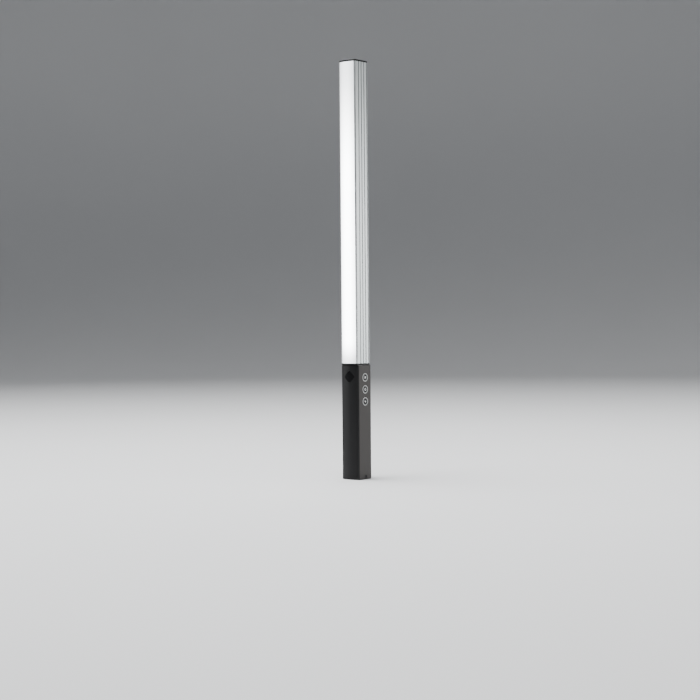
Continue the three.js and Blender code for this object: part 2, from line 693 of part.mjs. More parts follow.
// ---- battery: one cell in a moulded cradle ------------------------------------------------------
const PLUG_THICKNESS = 13;
const CRADLE = { bottom: PLUG_THICKNESS + 1, wall: 0.8, endWall: 1.5, frontY: -5, tabRoom: 0.9 };
const CELL_BOTTOM = CRADLE.bottom + CRADLE.endWall + CRADLE.tabRoom;
const CELL_TOP = CELL_BOTTOM + CELL_LENGTH;
const CRADLE_TOP = CELL_TOP + CRADLE.tabRoom + CRADLE.endWall;

function batteryCradle() {
  const clearRadius = CELL_RADIUS + 0.2;
  const outerRadius = clearRadius + CRADLE.wall;
  const trough = rod(outerRadius, CRADLE.bottom, CRADLE_TOP, 32).translate(0, CELL_AXIS_Y, 0);
  const seat = block(-4, 4, CELL_AXIS_Y + 5, HANDLE_BACK_INNER - 0.2, CRADLE.bottom, CRADLE_TOP);
  const bore = rod(clearRadius, CRADLE.bottom + CRADLE.endWall, CRADLE_TOP - CRADLE.endWall, 32);
  bore.translate(0, CELL_AXIS_Y, 0);
  const openFront = block(-20, 20, -20, CELL_AXIS_Y + 1,
    CRADLE.bottom + CRADLE.endWall, CRADLE_TOP - CRADLE.endWall);
  const endFront = block(-20, 20, -20, CRADLE.frontY, CRADLE.bottom - 1, CRADLE_TOP + 1);
  return cut(join(trough, seat), bore, openFront, endFront);
}
place('battery_cradle', batteryCradle(), blackPlastic());

// The cell: a wrapped can with a crimp groove under its raised positive button.
function batteryCell() {
  return turned([
    [0, 0],
    [CELL_RADIUS - 0.5, 0],
    [CELL_RADIUS, 0.5],
    [CELL_RADIUS, CELL_LENGTH - 4.2],
    [CELL_RADIUS - 0.5, CELL_LENGTH - 3.7],
    [CELL_RADIUS, CELL_LENGTH - 3.2],
    [CELL_RADIUS, CELL_LENGTH - 1.2],
    [CELL_RADIUS - 0.8, CELL_LENGTH - 0.6],
    [4.2, CELL_LENGTH - 0.6],
    [4, CELL_LENGTH],
    [0, CELL_LENGTH],
  ], 32);
}
place('battery_cell', batteryCell(), cellWrap()).position.set(0, CELL_AXIS_Y, CELL_BOTTOM);

// Nickel tabs: a flat strip on each end of the cell with a solder lug bent over the cradle's rim.
function batteryTab() {
  const strip = block(-4, 4, -7.5, 4, 0, 0.3);
  const lug = block(-2, 2, -7.5, -7.2, 0, 2.6);
  return join(strip, lug);
}
const topTab = place('battery_tab_positive', batteryTab(), nickel());
topTab.position.set(0, CELL_AXIS_Y, CELL_TOP + 0.3);
const bottomTab = place('battery_tab_negative', batteryTab(), nickel());
bottomTab.position.set(0, CELL_AXIS_Y, CELL_BOTTOM - 0.3);
bottomTab.rotation.y = Math.PI;

// ---- base: plug, tripod socket and side screws --------------------------------------------------
const INSERT = { radius: 4.6, flangeRadius: 6, flange: 1, length: SOCKET_DEPTH + 1 };
const PLUG_GAP = 0.2;
const SCREW_PILOT_RADIUS = 1.25;

// The plug fills the channel and the inside of the cover, with slots for the guide ribs.
function bottomPlug() {
  const sideX = HANDLE_INNER - PLUG_GAP;
  const backY = HANDLE_BACK_INNER - PLUG_GAP;
  const coverInner = HANDLE_MOUTH - 0.2 - 1.2 - PLUG_GAP;
  const slotTipY = HANDLE_BACK_INNER - BOARD_RIB.height - PLUG_GAP;
  const outline = mirrored([
    ...bowArc(HANDLE, COVER_THICKNESS + PLUG_GAP, 0, coverInner, 6),
    ...points(
      [coverInner, COVER_GROOVE.backY],
      [COVER_LEDGE.x - PLUG_GAP, COVER_GROOVE.backY],
      [COVER_LEDGE.x - PLUG_GAP, COVER_LEDGE.backY + PLUG_GAP],
      [sideX, COVER_LEDGE.backY + PLUG_GAP],
    ),
    ...arc(sideX - 1, backY - 1, 1, 0, RIGHT_ANGLE, 3),
    ...points(
      [BOARD_RIB.x1 + PLUG_GAP, backY],
      [BOARD_RIB.x1 + PLUG_GAP, slotTipY],
      [BOARD_RIB.x0 - PLUG_GAP, slotTipY],
      [BOARD_RIB.x0 - PLUG_GAP, backY],
    ),
  ]);
  const screwPilots = [0, Math.PI].map((turn) => {
    const pilot = alongX(rod(SCREW_PILOT_RADIUS, 5.5, HANDLE.halfWidth, 16));
    return pilot.rotateZ(turn).translate(0, SIDE_CENTRE_Y, BASE_SCREW_HEIGHT);
  });
  const insertSeat = turned([
    [0, -1],
    [INSERT.flangeRadius + 0.1, -1],
    [INSERT.flangeRadius + 0.1, INSERT.flange + 0.1],
    [INSERT.radius + 0.1, INSERT.flange + 0.1],
    [INSERT.radius + 0.1, INSERT.length + 0.1],
    [0, INSERT.length + 0.1],
  ]);
  return cut(prism(outline, 0, PLUG_THICKNESS), ...screwPilots, insertSeat);
}
place('bottom_plug', bottomPlug(), blackPlastic());

// The brass insert is closed at its top; its bore stands for the 1/4 inch thread.
function tripodInsert() {
  return turned([
    [SOCKET_RADIUS, SOCKET_DEPTH],
    [SOCKET_RADIUS, 0.5],
    [SOCKET_RADIUS + 0.5, 0],
    [INSERT.flangeRadius, 0],
    [INSERT.flangeRadius, INSERT.flange],
    [INSERT.radius, INSERT.flange],
    [INSERT.radius, INSERT.length],
    [0, INSERT.length],
    [0, SOCKET_DEPTH],
    [SOCKET_RADIUS, SOCKET_DEPTH],
  ]);
}
place('tripod_insert', tripodInsert(), brass());

const HOUSING_SCREW = { headRadius: 1.95, sunk: 1.1 };
for (const [name, side] of SIDES) {
  const baseScrew = place(
    `base_screw_${name}`,
    screw(HOUSING_SCREW.headRadius, 1, 1, 4.5),
    blackScrew(),
  );
  baseScrew.position.set(
    side * (HANDLE.halfWidth - HOUSING_SCREW.sunk),
    SIDE_CENTRE_Y,
    BASE_SCREW_HEIGHT,
  );
  baseScrew.rotation.y = side * RIGHT_ANGLE;
  const backScrew = place(
    `back_screw_${name}`,
    screw(HOUSING_SCREW.headRadius, 1, 1, 4.2),
    blackScrew(),
  );
  backScrew.position.set(
    side * BACK_SCREW.x,
    HANDLE.backY - HOUSING_SCREW.sunk,
    BACK_SCREW.z,
  );
  backScrew.rotation.x = -RIGHT_ANGLE;
}

// ---- leads --------------------------------------------------------------------------------------
function lead(radius, route, steps) {
  const path = new THREE.CatmullRomCurve3(route.map(([x, y, z]) => new THREE.Vector3(x, y, z)));
  const section = new THREE.Shape(arc(0, 0, radius, 0, FULL_TURN * 7 / 8, 7));
  return new THREE.ExtrudeGeometry(section, { steps, extrudePath: path, bevelEnabled: false });
}

const tabLugY = CELL_AXIS_Y - 7.5;
place('battery_lead_red', lead(0.7, [
  [1, tabLugY - 1, CELL_TOP + 2.4],
  [1.2, tabLugY - 1.6, CELL_TOP + 4.4],
  [2, tabLugY, CELL_TOP + 6.2],
  [2.6, -4.5, CELL_TOP + 7.4],
], 12), wire(0xb3221c));
place('battery_lead_black', lead(0.7, [
  [-2.4, tabLugY - 1.2, CELL_BOTTOM - 2.6],
  [-4.4, tabLugY - 1.9, CELL_BOTTOM + 1.5],
  [-8, tabLugY - 1, CELL_BOTTOM + 9],
  [-8.4, tabLugY - 0.9, CELL_BOTTOM + 30],
  [-8.4, tabLugY - 0.9, CELL_BOTTOM + 52],
  [-7.6, tabLugY - 0.8, CELL_TOP + 2],
  [-3, tabLugY + 0.6, CELL_TOP + 6],
  [2.6, -2.6, CELL_TOP + 7.4],
], 26), wire(0x161616));
place('led_lead', lead(0.9, [
  [2.4, 4, 129],
  [0.5, 1.5, 131.5],
  [-0.5, -2.6, 134.5],
  [0, -5.2, 138],
  [0, -5.8, 141.5],
  [0, -5.5, 145],
  [0, -4.5, 149],
], 20), wire(0xd8d8d4));
place('receiver_lead', lead(0.5, [
  [0, RECEIVER_BOARD.frontY + 1.6, WINDOW_Z - 5],
  [1, -3.6, WINDOW_Z - 6.5],
  [3.6, -3.4, WINDOW_Z - 8],
  [6.4, -4.6, WINDOW_Z - 9],
], 12), wire(0x8a8a86));

export default tube;
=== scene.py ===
from math import asin, atan2, cos, degrees, pi, radians, sin, sqrt

import bmesh
import bpy
from mathutils import Matrix, Vector


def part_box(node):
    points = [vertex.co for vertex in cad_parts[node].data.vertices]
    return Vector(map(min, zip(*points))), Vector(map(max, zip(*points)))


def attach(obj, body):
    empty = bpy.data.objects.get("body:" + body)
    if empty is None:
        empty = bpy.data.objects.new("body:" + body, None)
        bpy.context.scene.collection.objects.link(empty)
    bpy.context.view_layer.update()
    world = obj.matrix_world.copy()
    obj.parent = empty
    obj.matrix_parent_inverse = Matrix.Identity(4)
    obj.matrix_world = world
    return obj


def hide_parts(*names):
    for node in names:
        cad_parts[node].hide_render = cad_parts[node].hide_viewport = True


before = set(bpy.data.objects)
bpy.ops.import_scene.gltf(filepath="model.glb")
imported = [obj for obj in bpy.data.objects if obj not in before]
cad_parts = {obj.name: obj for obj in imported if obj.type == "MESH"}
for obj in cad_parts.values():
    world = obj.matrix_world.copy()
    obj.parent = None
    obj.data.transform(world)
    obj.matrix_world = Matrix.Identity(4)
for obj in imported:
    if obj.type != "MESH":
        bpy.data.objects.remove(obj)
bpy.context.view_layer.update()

# ---- Head: a fluted aluminium extrusion -------------------------------------------------------
# One length of clear anodised 6063, drawn through a die and sawn square at both ends. Its open
# front has grooves for the diffuser and the light board, and its closed back holds screw ports.

MM = 0.001


def reach(node):
    """The lowest and highest corners of a CAD node, in millimetres."""
    low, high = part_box(node)
    return Vector(low) / MM, Vector(high) / MM


class Pen:
    """Draws an outline in a flat section, stroke by stroke, in millimetres."""

    def __init__(self, bm, x, y):
        self.bm = bm
        self.tip = bm.verts.new((x, y, 0))

    def to(self, *places):
        for x, y in places:
            made = bmesh.ops.extrude_vert_indiv(self.bm, verts=[self.tip])
            self.tip = made["verts"][0]
            self.tip.co = (x, y, 0)
        return self

    def arc(self, centre, turn, steps):
        made = bmesh.ops.spin(
            self.bm, geom=[self.tip], cent=(*centre, 0), axis=(0, 0, 1), dvec=(0, 0, 0),
            angle=radians(turn), steps=steps, use_merge=False, use_duplicate=False)
        self.tip = next(v for v in made["geom_last"] if isinstance(v, bmesh.types.BMVert))
        return self


def mirrored_section(bm):
    """Closes right-half outlines with their mirrors and fills what lies between them."""
    bmesh.ops.mirror(bm, geom=bm.verts[:] + bm.edges[:], matrix=Matrix.Identity(4),
                     merge_dist=0.0005, axis="X")
    bmesh.ops.remove_doubles(bm, verts=bm.verts[:], dist=0.001)
    bmesh.ops.triangle_fill(bm, edges=bm.edges[:], use_beauty=True, use_dissolve=False,
                            normal=(0, 0, 1))


def draw_out(bm, bottom, top):
    """Pulls a flat section out along Z between two heights."""
    made = bmesh.ops.extrude_face_region(bm, geom=bm.faces[:])
    moved = [v for v in made["geom"] if isinstance(v, bmesh.types.BMVert)]
    bmesh.ops.translate(bm, verts=bm.verts[:], vec=(0, 0, bottom))
    bmesh.ops.translate(bm, verts=moved, vec=(0, 0, top - bottom))
    bmesh.ops.recalc_face_normals(bm, faces=bm.faces[:])


def settle(bm, name, material, nodes, body="housing", smooth=40, edge=0):
    """Makes a finished piece of a mesh in millimetres, riding on its body.

    It is smooth but for edges sharper than smooth degrees, which are rounded to a width of edge.
    It stands for the CAD nodes listed.
    """
    bmesh.ops.scale(bm, vec=(MM, MM, MM), verts=bm.verts[:])
    mesh = bpy.data.meshes.new(name)
    bm.to_mesh(mesh)
    bm.free()
    mesh.materials.append(material)
    mesh.shade_smooth()
    mesh.set_sharp_from_angle(angle=radians(smooth))
    piece = bpy.data.objects.new(name, mesh)
    bpy.context.scene.collection.objects.link(piece)
    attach(piece, body)
    if nodes:
        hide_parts(*nodes)
    if edge:
        broken = piece.modifiers.new("broken edges", "BEVEL")
        broken.width = edge * MM
        broken.segments = 2
        broken.limit_method = "ANGLE"
        broken.angle_limit = radians(smooth)
    even = piece.modifiers.new("even shading", "WEIGHTED_NORMAL")
    even.keep_sharp = True
    return piece


class Tone:
    """A value that changes over a surface. Arithmetic on it adds Math nodes to its material."""

    def __init__(self, tree, socket):
        self.tree = tree
        self.socket = socket

    def node(self, kind, settings, sockets, result=0):
        """Any other node: its settings, then its sockets' values or links, then the output used."""
        made = self.tree.nodes.new("ShaderNode" + kind)
        for key, value in settings.items():
            setattr(made, key, value)
        for key, value in sockets.items():
            if isinstance(value, Tone):
                self.tree.links.new(value.socket, made.inputs[key])
            else:
                made.inputs[key].default_value = value
        return Tone(self.tree, made.outputs[result])

    def maths(self, operation, *values):
        return self.node("Math", {"operation": operation}, dict(enumerate(values)))

    def __add__(self, other):
        return self.maths("ADD", self, other)

    def __radd__(self, other):
        return self.maths("ADD", other, self)

    def __sub__(self, other):
        return self.maths("SUBTRACT", self, other)

    def __rsub__(self, other):
        return self.maths("SUBTRACT", other, self)

    def __mul__(self, other):
        return self.maths("MULTIPLY", self, other)

    def __rmul__(self, other):
        return self.maths("MULTIPLY", other, self)

    def size(self):
        return self.maths("ABSOLUTE", self)

    def larger(self, other):
        return self.maths("MAXIMUM", self, other)

    def step(self, low, high):
        """0 below low, 1 above high and a smooth rise between them."""
        settings = {"interpolation_type": "SMOOTHSTEP"}
        return self.node("MapRange", settings, {"Value": self, "From Min": low, "From Max": high})

    def span(self, low, high):
        """Stretches 0 to 1 on to low to high."""
        return self.node("MapRange", {}, {"Value": self, "To Min": low, "To Max": high})

    def mix(self, first, second):
        """The colour first where this is 0 and second where it is 1."""
        return self.node("Mix", {"data_type": "RGBA"}, {"Factor": self, 6: first, 7: second}, 2)


def rgb(red, green, blue):
    """A screen colour from 0 to 255 as the linear colour that a shader takes."""
    def linear(value):
        value /= 255
        return value / 12.92 if value < 0.04045 else ((value + 0.055) / 1.055) ** 2.4
    return (linear(red), linear(green), linear(blue), 1)


class Finish:
    """A material being mixed: place is the point on the piece, in metres."""

    def __init__(self, name, **uniform):
        self.material = bpy.data.materials.new(name)
        self.material.use_nodes = True
        self.tree = self.material.node_tree
        self.shader = self.tree.nodes["Principled BSDF"]
        for key, value in uniform.items():
            self.shader.inputs[key.replace("_", " ")].default_value = value
        coordinates = self.tree.nodes.new("ShaderNodeTexCoord")
        self.place = Tone(self.tree, coordinates.outputs["Object"])

    def axis(self, name):
        return self.place.node("SeparateXYZ", {}, {"Vector": self.place}, name)

    def noise(self, per_metre, detail=3, roughness=0.5):
        """Cloudy noise from 0 to 1, with its own number of grains a metre along X, Y and Z."""
        stretched = self.place.node(
            "VectorMath", {"operation": "MULTIPLY"}, {0: self.place, 1: per_metre})
        sockets = {"Vector": stretched, "Scale": 1, "Detail": detail, "Roughness": roughness}
        return self.place.node("TexNoise", {}, sockets, "Fac")

    def colour(self, tone):
        self.tree.links.new(tone.socket, self.shader.inputs["Base Color"])

    def glow(self, tone):
        self.tree.links.new(tone.socket, self.shader.inputs["Emission Color"])

    def metallic(self, tone):
        self.tree.links.new(tone.socket, self.shader.inputs["Metallic"])

    def roughness(self, tone):
        self.tree.links.new(tone.socket, self.shader.inputs["Roughness"])

    def relief(self, tone, height):
        """Bumps of a height in millimetres where the tone goes from 0 to 1."""
        sockets = {"Height": tone, "Distance": height * MM, "Strength": 1}
        bump = tone.node("Bump", {}, sockets, "Normal")
        self.tree.links.new(bump.socket, self.shader.inputs["Normal"])


HEAD_BULGE = 2.3
HEAD_WALL = 1.8
LIP = 2.1
LIP_ROUND = 0.8
BACK_ROUND = 2.0
WEB_FRONT = -1.4
WEB = 1.6
FLUTE_WIDTH = 1.4
FLUTE_DEPTH = 0.6
FLUTE_PITCH = 5.2
FIRST_SIDE_FLUTE = -6.3
head_low, head_high = reach("head_extrusion")
diffuser_low, diffuser_high = reach("diffuser")
head_half = head_high.x
head_back = head_high.y
head_front = diffuser_low.y + HEAD_BULGE
bow_radius = (head_half ** 2 + HEAD_BULGE ** 2) / (2 * HEAD_BULGE)
bow_centre = (0, diffuser_low.y + bow_radius)


def drawn_aluminium():
    """Clear anodised extrusion: die lines along its length, a painted highlight on the lips and
    painted shade on the sunk faces.
    """
    metal = Finish("drawn aluminium", Metallic=1)
    die_lines = metal.noise((2600, 2600, 9), 4, 0.6)
    clouds = metal.noise((60, 60, 25), 3)
    across = metal.axis("X").size()
    depth = metal.axis("Y")
    on_side = across.step((head_half - 0.5) * MM, (head_half - 0.05) * MM)
    on_back = depth.step((head_back - 0.5) * MM, (head_back - 0.05) * MM)
    # The lips are painted almost white: a painted highlight for the light of the glowing diffuser and
    # the soft boxes.
    painted_lip_highlight = 1 - depth.step((head_front + 0.3) * MM, (head_front + 0.8) * MM)
    # Outside these masks, in the flutes, the recesses and the hollow inside, the colour is darkened
    # to paint in shade.
    raised = on_side.larger(on_back).larger(painted_lip_highlight)
    ground = (die_lines * 0.55 + clouds * 0.45).mix(rgb(160, 166, 167), rgb(208, 212, 212))
    # Painted highlight on the lips, painted shade on the sunk faces, die lines and clouds on the
    # rest.
    metal.colour(painted_lip_highlight.mix(raised.mix(rgb(96, 101, 102), ground), rgb(232, 236, 236)))
    metal.roughness((die_lines * 0.6 + clouds * 0.4).span(0.24, 0.46))
    metal.relief(die_lines, 0.012)
    return metal.material


def bow_y(x, radius, centre):
    """The depth at x of a bowed front of that radius."""
    return centre[1] - sqrt(radius ** 2 - x ** 2)


def bow_turn(x, radius):
    """The angle in degrees from the middle of a bow to x."""
    return degrees(asin(x / radius))


def flute(pen, x, y, wall):
    """One round-bottomed flute, met while the outline runs up the side or across the back."""
    radius = (FLUTE_WIDTH ** 2 / 4 + FLUTE_DEPTH ** 2) / (2 * FLUTE_DEPTH)
    rise = radius - FLUTE_DEPTH
    half_turn = degrees(atan2(FLUTE_WIDTH / 2, rise))
    if wall == "side":
        pen.to((x, y - FLUTE_WIDTH / 2)).arc((x + rise, y), -2 * half_turn, 8)
    else:
        pen.to((x + FLUTE_WIDTH / 2, y)).arc((x, y + rise), -2 * half_turn, 8)


def outer_side(pen, mouth):
    """Carries the outline from the lip's mouth round the corner, up the side and on to the back."""
    corner_x = head_half - LIP_ROUND
    corner_y = bow_y(corner_x, bow_radius - LIP_ROUND, bow_centre)
    corner_turn = degrees(atan2(corner_x, bow_centre[1] - corner_y))
    pen.arc(bow_centre, corner_turn - bow_turn(mouth, bow_radius), 6)
    pen.arc((corner_x, corner_y), 90 - corner_turn, 5)
    for row in range(4):
        flute(pen, head_half, FIRST_SIDE_FLUTE + row * FLUTE_PITCH, "side")
    pen.to((head_half, head_back - BACK_ROUND))
    pen.arc((head_half - BACK_ROUND, head_back - BACK_ROUND), 90, 8)
    for row in (1.5, 0.5):
        flute(pen, row * FLUTE_PITCH, head_back, "back")
    pen.to((0, head_back))


def front_outline(bm):
    """The outline from the web through the board slot and the diffuser's groove to the outside."""
    inner = head_half - HEAD_WALL
    board_slot = 11.0
    board_front = -3.2
    wing_slot = 11.5
    wing_front = -12.0
    wing_back = wing_front + 1.3
    ledge = 9.8
    ledge_back = wing_back + 1.0
    mouth = head_half - LIP
    pen = Pen(bm, 0, WEB_FRONT)
    pen.to((board_slot, WEB_FRONT), (board_slot, board_front), (inner, board_front))
    pen.to((inner, ledge_back), (ledge, ledge_back), (ledge, wing_back), (wing_slot, wing_back))
    pen.to((wing_slot, wing_front), (mouth, wing_front))
    pen.to((mouth, bow_y(mouth, bow_radius, bow_centre)))
    outer_side(pen, mouth)


def chamber_outline(bm):
    """The hollow behind the web, with a split screw port on a neck from each side wall."""
    inner = head_half - HEAD_WALL
    chamber_front = WEB_FRONT + WEB
    chamber_back = head_back - HEAD_WALL
    port_x = 7.6
    port_y = 5.5
    port_radius = 2.3
    port_bore = 1.25
    slit = 0.6
    neck = 0.8
    neck_turn = degrees(asin(neck / port_radius))
    slit_turn = 180 - degrees(asin(slit / port_radius))
    bore_turn = 180 - degrees(asin(slit / port_bore))
    port = (port_x, port_y)
    neck_x = port_x + port_radius * cos(radians(neck_turn))
    bore_x = port_x + port_bore * cos(radians(bore_turn))
    slit_x = port_x + port_radius * cos(radians(slit_turn))
    pen = Pen(bm, 0, chamber_front)
    pen.to((inner - 1, chamber_front)).arc((inner - 1, chamber_front + 1), 90, 4)
    pen.to((inner, port_y - neck), (neck_x, port_y - neck)).arc(port, neck_turn - slit_turn, 14)
    pen.to((bore_x, port_y - slit)).arc(port, 2 * bore_turn, 22)
    pen.to((slit_x, port_y + slit)).arc(port, neck_turn - slit_turn, 14)
    pen.to((inner, port_y + neck), (inner, chamber_back - 1))
    pen.arc((inner - 1, chamber_back - 1), 90, 4).to((0, chamber_back))


section = bmesh.new()
front_outline(section)
chamber_outline(section)
mirrored_section(section)
draw_out(section, head_low.z, head_high.z)
settle(section, "head_profile", drawn_aluminium(), ["head_extrusion"])

# ---- Diffuser: a lit strip of opal polycarbonate ----------------------------------------------
# An extruded strip whose bowed face carries on the curve of the metal lips. A thin wing along each
# edge slides in the groove behind the lip. The light board behind it makes it glow.

DIFFUSER_WALL = 1.5
WING_FRONT = -11.85
WING_BACK = -10.85
GAP = 0.2
GLOW = 12


def sliding_strip(bm):
    """The section of the bowed strip that slides behind the two lips."""
    edge = head_half - LIP - GAP
    inner = edge - 1.2
    wing = diffuser_high.x
    inside_radius = bow_radius - DIFFUSER_WALL
    pen = Pen(bm, 0, diffuser_low.y)
    pen.arc(bow_centre, bow_turn(edge, bow_radius), 16)
    pen.to((edge, WING_FRONT), (wing, WING_FRONT), (wing, WING_BACK), (inner, WING_BACK))
    pen.to((inner, bow_y(inner, inside_radius, bow_centre)))
    pen.arc(bow_centre, -bow_turn(inner, inside_radius), 16)


def lit_opal():
    """Frosted opal that glows: cool white, weaker towards the lips and both ends."""
    opal = Finish("lit opal", Roughness=0.42, Emission_Strength=GLOW)
    across = opal.axis("X").size()
    height = opal.axis("Z")
    half = head_half * MM
    foot = height.step(head_low.z * MM, (head_low.z + 30) * MM)
    tip = height.step((head_high.z - 150) * MM, (head_high.z - 5) * MM)
    frost = opal.noise((900, 900, 900), 2)
    edge_fall = 1 - across.step(0.15 * half, 0.95 * half) * 0.5
    end_fall = 0.2 + foot * (1 - tip) * 0.8
    glow = edge_fall * end_fall * frost.span(0.97, 1.0)
    opal.glow(glow.mix((0, 0, 0, 1), (0.95, 0.98, 1.0, 1)))
    opal.colour(frost.mix(rgb(238, 242, 246), rgb(246, 249, 252)))
    opal.relief(frost, 0.01)
    return opal.material


strip = bmesh.new()
sliding_strip(strip)
mirrored_section(strip)
draw_out(strip, diffuser_low.z, diffuser_high.z)
settle(strip, "diffuser_strip", lit_opal(), ["diffuser"])

# ---- Light board: aluminium-cored strip with two rows of emitters -----------------------------
# A white-masked strip that slides into the extrusion's board slot and passes its heat to the web.
# Each emitter is a white moulded package with a yellow phosphor window.

EMITTER_ROWS = (-4.6, 4.6)
EMITTERS_PER_ROW = 24
WINDOW_WIDTH = 2.2
WINDOW_HEIGHT = 2.7
WINDOW_RAISED = 0.1
WINDOW_ROUND = 0.5


def white_solder_mask():
    """White solder mask, a shade darker and lower where there is no copper under it."""
    board = Finish("white solder mask")
    mottled = board.noise((400, 400, 400), 3)
    copper = board.noise((90, 90, 35), 2).step(0.5, 0.53)
    board.colour(copper.mix(rgb(210, 213, 208), rgb(232, 234, 230)))
    board.roughness(mottled.span(0.4, 0.6))
    board.relief(copper, 0.02)
    return board.material


def yellow_phosphor():
    phosphor = Finish("yellow phosphor", Roughness=0.35, Emission_Strength=0.6)
    grain = phosphor.noise((5000, 5000, 5000), 2)
    phosphor.colour(grain.mix(rgb(226, 196, 60), rgb(246, 224, 110)))
    phosphor.glow(grain.mix((0.9, 0.8, 0.4, 1), (1.0, 0.93, 0.6, 1)))
    return phosphor.material


board_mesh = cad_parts["led_board"].data
board_mesh.materials.clear()
board_mesh.materials.append(white_solder_mask())

board_low, board_high = reach("led_board")
emitter_pitch = (board_high.z - board_low.z) / EMITTERS_PER_ROW
windows = bmesh.new()
for row_x in EMITTER_ROWS:
    for index in range(EMITTERS_PER_ROW):
        made = bmesh.ops.create_cube(windows, size=1)
        window_size = (WINDOW_WIDTH, WINDOW_RAISED, WINDOW_HEIGHT)
        window_z = board_low.z + (index + 0.5) * emitter_pitch
        window_place = (row_x, board_low.y - WINDOW_RAISED / 2, window_z)
        bmesh.ops.scale(windows, verts=made["verts"], vec=window_size)
        bmesh.ops.translate(windows, verts=made["verts"], vec=window_place)
corners = [e for e in windows.edges if e.verts[0].co.y != e.verts[1].co.y]
bmesh.ops.bevel(windows, geom=corners, offset=WINDOW_ROUND, segments=3, profile=0.5,
                affect="EDGES", material=-1)
settle(windows, "emitter_windows", yellow_phosphor(), [])

# ---- End cap: a thin black moulding and its two screws ----------------------------------------
# Moulded in glass-filled nylon. Two tongues locate it in the extrusion and two pan-head screws in
# sunk seats pull it down on to the sawn end.

SCREW_EDGE = 0.06


def refined(name, node, material, edge, smooth=32):
    """A finer copy of a CAD node: triangles joined, flats made whole and every edge broken."""
    bm = bmesh.new()
    bm.from_mesh(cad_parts[node].data)
    bmesh.ops.scale(bm, vec=(1 / MM,) * 3, verts=bm.verts[:])
    bmesh.ops.remove_doubles(bm, verts=bm.verts[:], dist=0.002)
    bmesh.ops.dissolve_limit(bm, angle_limit=radians(0.4), use_dissolve_boundaries=False,
                             verts=bm.verts[:], edges=bm.edges[:], delimit=set())
    return settle(bm, name, material, [node], smooth=smooth, edge=edge)


def near_black(shade):
    """The colour of a black plastic, a touch bluer than grey, at a shade from 0 to 255."""
    return rgb(shade, shade, shade + 1)


def moulded_black(name, smoothest, roughest, shade):
    """Moulded black plastic: a fine spark-eroded texture and a cloudy, slightly worn sheen."""
    plastic = Finish(name, Specular_IOR_Level=0.24)
    texture = plastic.noise((7000, 7000, 7000), 2)
    clouds = plastic.noise((140, 140, 90), 3)
    plastic.colour(clouds.mix(near_black(shade), near_black(shade + 9)))
    plastic.roughness((texture * 0.5 + clouds * 0.5).span(smoothest, roughest))
    plastic.relief(texture, 0.02)
    return plastic.material


def blackened_steel():
    steel = Finish("blackened steel", Metallic=1)
    turned = steel.noise((5200, 5200, 5200), 3)
    steel.colour(turned.mix(rgb(34, 34, 36), rgb(66, 66, 68)))
    steel.roughness(turned.span(0.28, 0.5))
    steel.relief(turned, 0.008)
    return steel.material


nylon_black = moulded_black("black nylon", 0.42, 0.62, 12)
screw_black = blackened_steel()
refined("end_cap", "top_cap", nylon_black, edge=0.12)
for side in ("left", "right"):
    refined(f"cap_screw_{side}", f"top_screw_{side}", screw_black, SCREW_EDGE, smooth=40)

# ---- Collar: the black moulding between head and handle ---------------------------------------
# Its flange shows as a thin line. Tongues above and a hollow spigot below line the two tubes up,
# and two steel screws from below hold it to the head's screw ports.


def zinc_steel():
    steel = Finish("zinc-plated steel", Metallic=1)
    grain = steel.noise((3000, 3000, 3000), 3)
    steel.colour(grain.mix(rgb(168, 170, 172), rgb(206, 208, 206)))
    steel.roughness(grain.span(0.22, 0.42))
    steel.relief(grain, 0.008)
    return steel.material


plated = zinc_steel()
refined("collar", "joint_collar", nylon_black, edge=0.15)
for side in ("left", "right"):
    refined(f"collar_fixing_{side}", f"collar_screw_{side}", plated, SCREW_EDGE, smooth=40)

# ---- Handle: a black anodised channel ---------------------------------------------------------
# A second extrusion, a little larger than the head, with milled seats for the buttons, the screws
# and the charging socket. Its ends are chamfered and its long edges rub pale with use. The top
# chamfer carries a painted highlight and the sunk faces painted shade.

_, handle_high = reach("handle_body")


def black_anodise():
    """Black anodising: faint die lines, hand-polished clouds, worn rear corners, a painted highlight
    on the top chamfer and painted shade on the sunk faces.
    """
    black = Finish("black anodising", Metallic=0.35, Specular_IOR_Level=0.35)
    die_lines = black.noise((2400, 2400, 10), 4, 0.6)
    clouds = black.noise((70, 70, 40), 4)
    across = black.axis("X").size()
    depth = black.axis("Y")
    side = across.step((handle_high.x - 0.5) * MM, (handle_high.x - 0.05) * MM)
    rear = depth.step((handle_high.y - 0.6) * MM, (handle_high.y - 0.1) * MM)
    ends = black.axis("Z").step((handle_high.z - 0.9) * MM, (handle_high.z - 0.3) * MM)
    # Outside the side, rear and end masks, on the channel's lips and inside, the colour is darkened
    # to paint in shade.
    raised = side.larger(rear).larger(ends)
    # Pale where the side meets the rear: wear. Pale on the top end's chamfer: a painted highlight,
    # partly bare metal.
    wear_and_highlight = side * rear * clouds.step(0.42, 0.7) * 0.6 + ends * (0.35 + clouds * 0.4)
    ground = (die_lines * 0.5 + clouds * 0.5).mix(rgb(38, 36, 35), rgb(60, 57, 55))
    # Pale wear and painted highlight first, then painted shade on the sunk faces, die lines and
    # clouds on the rest.
    black.colour(wear_and_highlight.mix(raised.mix(rgb(20, 20, 21), ground), rgb(138, 137, 136)))
    black.roughness((die_lines * 0.5 + clouds * 0.5).span(0.34, 0.56))
    black.relief(die_lines, 0.008)
    return black.material


refined("handle_channel", "handle_body", black_anodise(), edge=0.15)
for side in ("left", "right"):
    refined(f"rear_fixing_{side}", f"back_screw_{side}", screw_black, SCREW_EDGE, smooth=40)

# ---- Front cover, dark window and receiver ----------------------------------------------------
# A smooth black strip slides up the channel's grooves. A smoked window in the shape of a rounded
# diamond is bonded in from behind, and a small board on two posts holds the infrared receiver.

